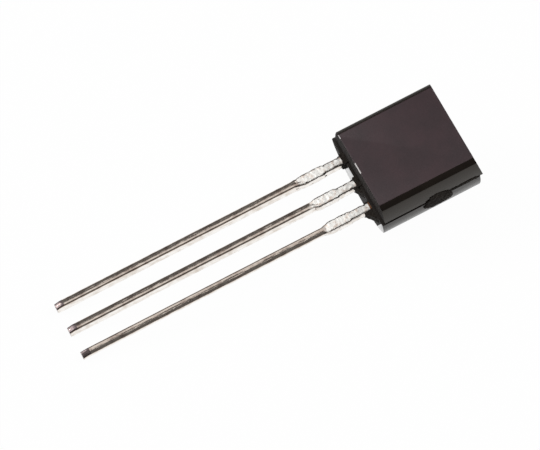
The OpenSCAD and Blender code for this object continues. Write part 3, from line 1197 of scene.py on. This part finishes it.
@dataclass(frozen=True)
class Lead:
    """One lead: its plates in the resin, dam-bar stubs, twisted shank and sheared tip.

    Its notches are round and given by their middles. The root's copper shows as far as bare_to
    from the body, and nowhere when that is negative.
    """

    stock: LeadStock
    finishes: Materials
    name: str
    node: str
    x: float
    twist: float
    stub_taper: float
    plates: tuple[Plate, ...]
    notches: tuple[Span, ...] = ()
    bare_to: float = -1.0

    @property
    def shank_start(self) -> float:
        """Distance from the body at which the stub has narrowed to the shank."""
        return self.stock.stub_end + self.stub_taper

    def stations(self) -> list[Station]:
        """Lists the stations.

        Returns:
            The stations in order, from root to tip.
        """
        stock = self.stock
        return [
            Station(stock.stub_start, stock.root_width, 14),
            Station(stock.stub_full, stock.stub_width, 4),
            Station(stock.stub_end, stock.stub_width, 24),
            Station(self.shank_start, stock.width, 7),
            Station(stock.length - stock.tip_run, stock.width, 90),
            Station(stock.length, stock.width, 5),
        ]

    def build(self, rest: Rest) -> None:
        """Models the lead and lays it at rest.

        Args:
            rest: The place at rest.
        """
        piece = self.bar()
        self.round_edges(piece)
        self.ring(piece)
        self.weather(piece)
        self.paint(piece)
        height = (-self.stock.thickness, 0.0)
        for left, right, start, end in self.plates:
            combine(piece, block("plate", (left, right), (start, end), height))
        depth = self.stock.thickness * 2
        for x, y in self.notches:
            hole = drum("notch", self.stock.notch_radius, depth, (x, y, -depth / 4), Axis.Z, 32)
            combine(piece, hole, Blend.CUT)
        rest.settle(piece, smooth_angle=35.0)
        enlist(piece, self.node)

    def bar(self) -> Piece:
        """Draws the bar out of a block at the root, station by station, to the tip.

        Returns:
            The bar with sharp long edges.
        """
        stock = self.stock
        half = stock.root_width / 2
        across, along = (self.x - half, self.x + half), (-stock.bar_out, stock.bar_in)
        piece = block(self.name, across, along, (-stock.thickness, 0.0))
        wear_finishes(piece, self.finishes)
        axis = (self.x, 0.0, -stock.thickness / 2)
        with edit_mode(piece):
            pick(Kind.FACE, lambda at, normal: normal.y < -FACING)
            last, last_width = stock.bar_out, stock.root_width
            for distance, width, _ in self.stations():
                extrude(y=last - distance)
                stretch(width / last_width, 1.0, 1.0, axis)
                last, last_width = distance, width
                if distance == self.shank_start:
                    turn(self.twist, Axis.Y, axis)
            for front, shift in ((True, -stock.tip_drop), (False, stock.tip_lift)):
                pick(
                    Kind.POINT,
                    lambda place: place.y < 0.01 - stock.length and front == (place.z > axis[2]),
                )
                move(z=shift)
        return piece

    def round_edges(self, piece: Piece) -> None:
        """Coins the long edges, which leaves every face of the bar slightly crowned.

        Args:
            piece: The bar.
        """
        with edit_mode(piece):
            pick(
                Kind.EDGE,
                lambda at, direction: abs(direction.y) > 0.8 and self.off_axis(at) > 0.2
            )
            bpy.ops.mesh.bevel(
                offset=self.stock.edge_offset,
                segments=9,
                profile=self.stock.edge_profile,
                affect="EDGES",
            )

    def off_axis(self, place: Vector) -> float:
        """Distance of a point from the lead's own middle line."""
        return math.hypot(place.x - self.x, place.z + self.stock.thickness / 2)

    def ring(self, piece: Piece) -> None:
        """Cuts the bar into short rings, so that it can be worn and dented.

        Args:
            piece: The rounded bar.
        """
        start = 0.0
        for distance, _, rings in self.stations():
            with edit_mode(piece):
                pick(
                    Kind.EDGE,
                    lambda at, direction: abs(direction.y) > 0.8
                    and -distance - 0.02 < at.y < -start
                    and abs(at.y + (start + distance) / 2) < 0.1
                )
                bpy.ops.mesh.subdivide(number_cuts=rings - 1)
            start = distance

    def weather(self, piece: Piece) -> None:
        """Leaves burrs at the stubs and the root, and shallow dents along the shank.

        Args:
            piece: The ringed bar.
        """
        roughen(piece, size=0.5, depth=0.012)
        group = piece.vertex_groups.new(name="burred")
        with edit_mode(piece):
            pick(Kind.POINT, lambda place: -self.shank_start < place.y < -0.05)
            bpy.ops.object.vertex_group_assign()
        roughen(piece, size=0.13, depth=0.045, group=group.name)
        piece.vertex_groups.clear()

    def paint(self, piece: Piece) -> None:
        """Paints sheen on the right sides, gives the stub's edges coined gloss and painted shade,
        and bares the tip and part of the root.

        Args:
            piece: The worn bar.
        """
        rolled = -self.stock.length + self.stock.tip_run + self.stock.tip_rolled
        tests: dict[LeadFace, PlaceTest] = {
            # The right-hand sides get the whiter copy as a painted sheen
            LeadFace.PAINTED_SHEEN: lambda at, normal: normal.x > FACING,
            # The stub's slanted and left-hand faces: coined gloss, with painted shade in the darker
            # copy
            LeadFace.COINED_WITH_SHADE: lambda at, normal: at.y > -self.shank_start
            and (0.2 < abs(normal.z) < 0.88 or normal.x < -0.25),
            LeadFace.BARE: lambda at, normal: -self.bare_to < at.y < 0.3
            and normal.z > 0.3,
            LeadFace.SHEARED: lambda at, normal: normal.y < -0.6
            or (at.y < rolled and normal.z > 0.5),
        }
        for face, wanted in tests.items():
            paint_faces(piece, face, wanted)


def make_leads(stock: LeadStock, finishes: Materials) -> list[Lead]:
    """Lists the three leads.

    Args:
        stock: The sizes they share.
        finishes: Their materials.

    Returns:
        The emitter, base and collector leads.
    """
    return [
        Lead(
            stock, finishes, "emitter_lead_plated", "emitter_lead", stock.place_of(-1),
            twist=-7.0,
            stub_taper=0.46,
            plates=(Plate(-1.48, -1.06, 0.54, 1.96), Plate(-1.78, -0.82, 1.95, 2.80)),
            notches=((-1.48, 1.25), (-1.06, 1.25)),
        ),
        Lead(
            stock, finishes, "base_lead_plated", "base_lead", stock.place_of(0),
            twist=-7.0,
            stub_taper=0.16,
            plates=(Plate(-0.21, 0.21, 0.54, 1.06), Plate(-0.475, 0.475, 1.05, 1.60)),
        ),
        Lead(
            stock, finishes, "collector_lead_plated", "collector_lead", stock.place_of(1),
            twist=17.0,
            stub_taper=0.38,
            plates=(Plate(1.06, 1.48, 0.54, 1.91), Plate(-0.52, 1.78, 1.90, 3.50)),
            notches=((1.06, 1.225), (1.48, 1.225), (1.78, 2.70)),
            bare_to=0.05,
        ),
    ]


# Studio


@dataclass(frozen=True)
class Stand:
    """Holds a camera or a lamp that looks at one place, from a direction and a distance."""

    azimuth: float
    elevation: float
    distance: float
    roll: float = 0.0
    aim: Place = ORIGIN

    def hold(self, name: str, data: bpy.types.ID) -> Piece:
        """Puts a camera or a lamp on the stand.

        Args:
            name: The new object's name.
            data: The camera's or the lamp's data.

        Returns:
            The new object.
        """
        tilt = Euler((math.radians(90.0 - self.elevation), 0.0, math.radians(self.azimuth)))
        basis = tilt.to_matrix() @ Matrix.Rotation(math.radians(self.roll), 3, "Z")
        held = bpy.data.objects.new(name, data)
        bpy.context.scene.collection.objects.link(held)
        place = Vector(self.aim) + basis @ Vector((0.0, 0.0, self.distance))
        held.matrix_world = Matrix.Translation(place) @ basis.to_4x4()
        return held


@dataclass(frozen=True)
class Viewpoint:
    """A camera that looks down on the part from beside lead 3."""

    stand: Stand = Stand(60.62, 61.63, 0.268, 2.78, (-0.000217, 0.000299, 0.001633))
    focal_mm: float = 413.7
    sensor_mm: float = 36.0
    nearest: float = 0.01
    furthest: float = 10.0

    def build(self) -> None:
        """Adds the camera and makes it the scene's."""
        data = bpy.data.cameras.new("camera")
        data.lens = self.focal_mm
        data.sensor_width = self.sensor_mm
        data.clip_start = self.nearest
        data.clip_end = self.furthest
        bpy.context.scene.camera = self.stand.hold("camera", data)


@dataclass(frozen=True)
class Softbox:
    """A square lamp with a diffuser, aimed at the part."""

    name: str
    stand: Stand
    size: float
    radiance: float

    def build(self) -> None:
        """Adds the lamp."""
        data = bpy.data.lights.new(self.name, "AREA")
        data.shape = "SQUARE"
        data.size = self.size
        data.energy = self.radiance * math.pi * self.size**2
        self.stand.hold(self.name, data)


@dataclass(frozen=True)
class Studio:
    """A white tabletop in a dim room, with soft boxes above it."""

    table_size: float = 0.3
    room_level: float = 0.13
    lamps: tuple[Softbox, ...] = (
        Softbox("overhead softbox", Stand(-90.0, 77.0, 0.30), 0.23, 0.72),
        Softbox("front softbox", Stand(-40.0, 38.0, 0.40), 0.22, 6.6),
        Softbox("far softbox", Stand(170.0, 45.0, 0.40), 0.22, 5.0),
    )

    def build(self) -> None:
        """Adds the table, the room's light and the lamps."""
        deselect_all()
        bpy.ops.mesh.primitive_plane_add(size=self.table_size, location=ORIGIN)
        table = bpy.context.object
        table.name = "table"
        table.data.materials.append(WhitePaper().material("white paper"))
        self.room()
        for lamp in self.lamps:
            lamp.build()

    def room(self) -> None:
        """Makes the room dim for the part and white behind it for the camera."""
        world = bpy.data.worlds.new("room")
        bpy.context.scene.world = world
        tree = empty_tree(world)
        seen = add_node(tree, "LightPath").outputs["Is Camera Ray"]
        dim = add_node(tree, "Background", WHITE, self.room_level)
        white = add_node(tree, "Background", WHITE, 1.0)
        add_node(tree, "OutputWorld", add_node(tree, "MixShader", seen, dim, white))


# Assembly


INNER_NODES = {
    "silicon_die": InnerFace.SILICON,
    "die_attach": InnerFace.SOLDER,
    "emitter_bond_wire": InnerFace.GOLD,
    "base_bond_wire": InnerFace.GOLD,
}


def dress_node(node: Piece, material: Material) -> None:
    """Gives every slot of a CAD node one material, and reports it.

    Args:
        node: The node's object.
        material: The material to give it.
    """
    if not node.material_slots:
        node.data.materials.append(material)
    for slot in node.material_slots:
        slot.material = material
    log.info("%s: dressed in %s", node.name, material.name)


def main() -> None:
    """Builds the camera, the studio and each sub-assembly, and reports each piece."""
    logging.basicConfig(level=logging.INFO, format="%(name)s: %(message)s")
    bpy.context.scene.view_settings.view_transform = "Standard"
    Viewpoint().build()
    Studio().build()
    stock = LeadStock()
    rest = Rest.from_record(frame["record"], stock.thickness)
    ResinBody(make_materials(RESIN_FINISHES), stock).build(rest)
    for lead in make_leads(stock, make_materials(LEAD_FINISHES)):
        lead.build(rest)
    inner = make_materials(INNER_FINISHES)
    for name, face in INNER_NODES.items():
        dress_node(frame["nodes"][name], inner[face])


if __name__ == "__main__":
    main()
